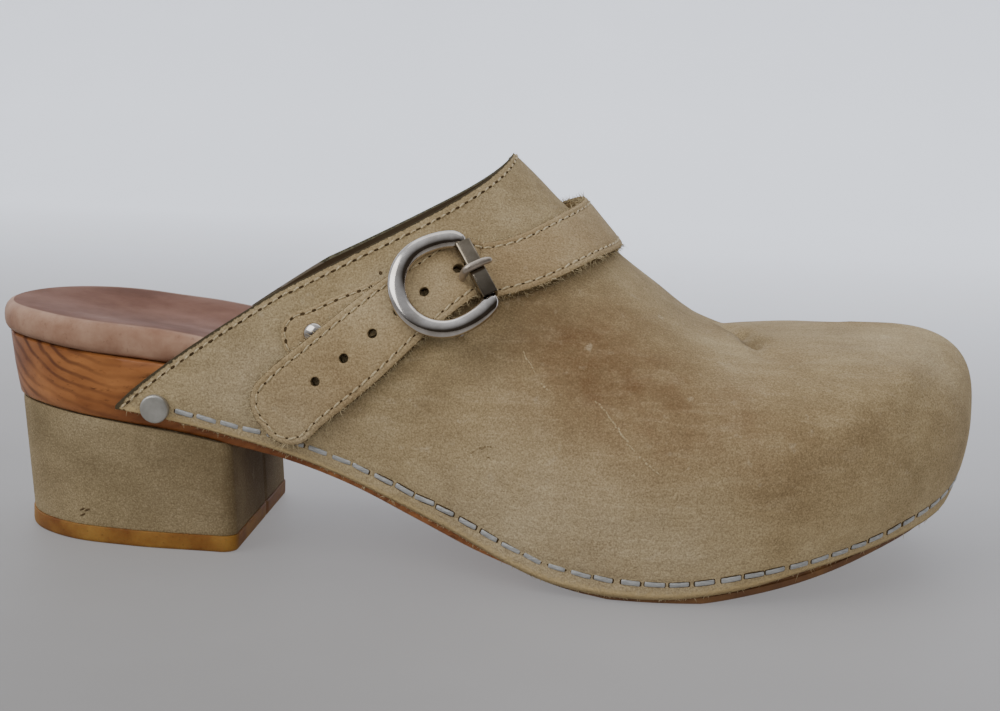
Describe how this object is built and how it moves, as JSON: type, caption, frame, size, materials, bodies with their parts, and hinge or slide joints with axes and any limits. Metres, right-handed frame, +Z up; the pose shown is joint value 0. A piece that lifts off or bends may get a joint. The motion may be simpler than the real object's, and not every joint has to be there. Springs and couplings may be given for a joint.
{
  "type": "heeled clog",
  "caption": "Slip-on clog with a closed nubuck upper, a buckled strap over the instep, an open back, a wooden sole and a low block heel.",
  "frame": {"origin": "bottom centre of the shoe's bounding box, on the floor plane", "axes": "+X from the heel to the toe, +Y from the outer side of the foot to its inner side, +Z up"},
  "size_m": [0.2512, 0.1062, 0.0995],
  "materials": {
    "nubuck": "napped, dry",
    "strap_nubuck": "napped, dry",
    "heel_nubuck": "napped, dry",
    "footbed_leather": "smooth, worn",
    "wood": "lacquered",
    "outsole_rubber": "matte",
    "lift_rubber": "satin",
    "steel": "polished"
  },
  "bodies": {
    "root": {"upper": "nubuck", "strap": "strap_nubuck", "buckle_tab": "strap_nubuck", "buckle_frame": "steel", "buckle_sleeve": "steel", "buckle_prong": "steel", "tab_stud": "steel", "corner_nail_outer": "steel", "corner_nail_inner": "steel", "wood_sole": "wood", "footbed": "footbed_leather", "outsole_forefoot": "outsole_rubber", "heel_block": "heel_nubuck", "heel_lift": "lift_rubber"}
  },
  "joints": []
}
